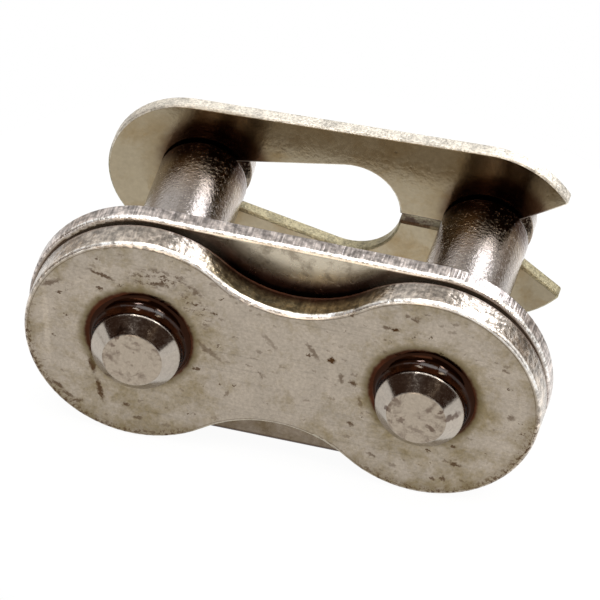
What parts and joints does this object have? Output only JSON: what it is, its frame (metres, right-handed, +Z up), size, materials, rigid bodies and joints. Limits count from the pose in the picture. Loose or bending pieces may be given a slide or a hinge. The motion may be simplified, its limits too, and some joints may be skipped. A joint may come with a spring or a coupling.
{
  "type": "chain connecting link",
  "caption": "Spring-clip connecting link for a roller chain: a waisted pin plate with pressed-in grooved pins, a loose cover plate, and a keyhole-shaped clip that holds the cover on.",
  "frame": {"origin": "middle of the link's box, at the level of the plates' lower edges", "axes": "+X along the pitch, from the clip's closed end to its open end; +Y along the pins, from the pin plate to the spring clip; +Z up"},
  "size_m": [0.0232, 0.016, 0.0104],
  "materials": {
    "plate_nickel": "nickel-plated steel, satin faces and brighter sheared edges, with light scratches and pits",
    "clip_nickel": "nickel-plated spring steel, smooth and slightly mirror-like",
    "pin_nickel": "nickel-plated hardened steel, polished round the sides, worn ends"
  },
  "bodies": {
    "pin_link": {"pin_plate": "plate_nickel", "pin_left": "pin_nickel", "pin_right": "pin_nickel", "spring_clip": "clip_nickel"},
    "cover": {"cover_plate": "plate_nickel"}
  },
  "joints": [
    {"name": "cover_slide", "type": "slide", "parent": "pin_link", "child": "cover", "axis": [0, 1, 0], "range_m": [0, 0.00943]}
  ]
}
